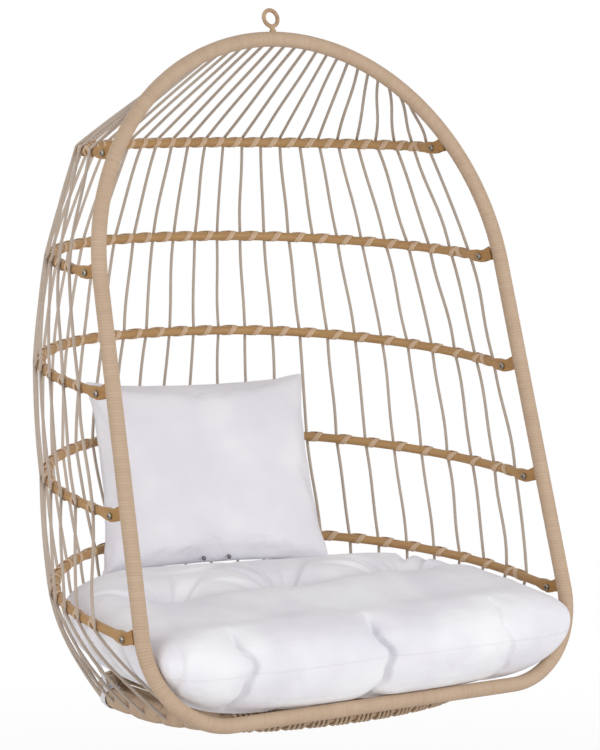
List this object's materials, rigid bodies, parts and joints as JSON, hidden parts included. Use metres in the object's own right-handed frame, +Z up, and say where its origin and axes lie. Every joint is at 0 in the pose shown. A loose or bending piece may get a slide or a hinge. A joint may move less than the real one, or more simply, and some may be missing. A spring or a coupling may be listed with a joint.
{
  "type": "hanging egg chair",
  "caption": "Hanging egg-shaped garden chair: tilted steel hoop with a hanging eye, bolted ribs, corded basket, tufted seat cushion and loose back cushion.",
  "frame": {"origin": "centre of the hanging eye at the top of the hoop", "axes": "+Z up along gravity as the chair hangs, -Y the way the sitter faces, +X to the right seen from the front"},
  "size_m": [0.9531, 0.7389, 1.2299],
  "materials": {
    "frame_steel": "satin",
    "hoop_strip": "wound matt strip",
    "hoop_strip_metal": "beige powder coat",
    "screw_steel": "bright zinc",
    "ring_steel": "beige powder coat",
    "rib_paint": "ochre powder coat",
    "cord": "twisted matt cord",
    "cushion_cloth": "plain weave",
    "tie_tape": "flat tape"
  },
  "bodies": {
    "chair": {"hoop_tube": "frame_steel", "hoop_wrap": "hoop_strip", "hanging_eye": "hoop_strip_metal", "rib_lugs": "rib_paint", "rib_1": "rib_paint", "rib_2": "rib_paint", "rib_3": "rib_paint", "rib_4": "rib_paint", "rib_5": "rib_paint", "rib_1_turns": "cord", "rib_2_turns": "cord", "rib_3_turns": "cord", "rib_4_turns": "cord", "rib_5_turns": "cord", "rib_screws": "screw_steel", "rib_nuts": "screw_steel", "seat_ring": "ring_steel", "ring_wraps": "cord", "ring_lugs": "hoop_strip_metal", "ring_screws": "screw_steel", "seat_webbing": "cord", "seat_cushion": "cushion_cloth", "cushion_ties": "tie_tape", "strand_01": "cord", "strand_02": "cord", "strand_03": "cord", "strand_04": "cord", "strand_05": "cord", "strand_06": "cord", "strand_07": "cord", "strand_08": "cord", "strand_09": "cord", "strand_10": "cord", "strand_11": "cord", "strand_12": "cord", "strand_13": "cord", "strand_14": "cord", "strand_15": "cord", "strand_16": "cord", "strand_17": "cord", "strand_18": "cord", "strand_19": "cord", "strand_20": "cord", "strand_21": "cord", "strand_22": "cord", "strand_23": "cord", "strand_24": "cord", "strand_25": "cord", "strand_26": "cord", "strand_27": "cord", "strand_28": "cord"},
    "back_cushion": {"back_cushion": "cushion_cloth"}
  },
  "joints": [
    {"name": "back_cushion_out", "type": "slide", "parent": "chair", "child": "back_cushion", "axis": [0, -0.9397, 0.342], "range_m": [0, 0.9]}
  ]
}
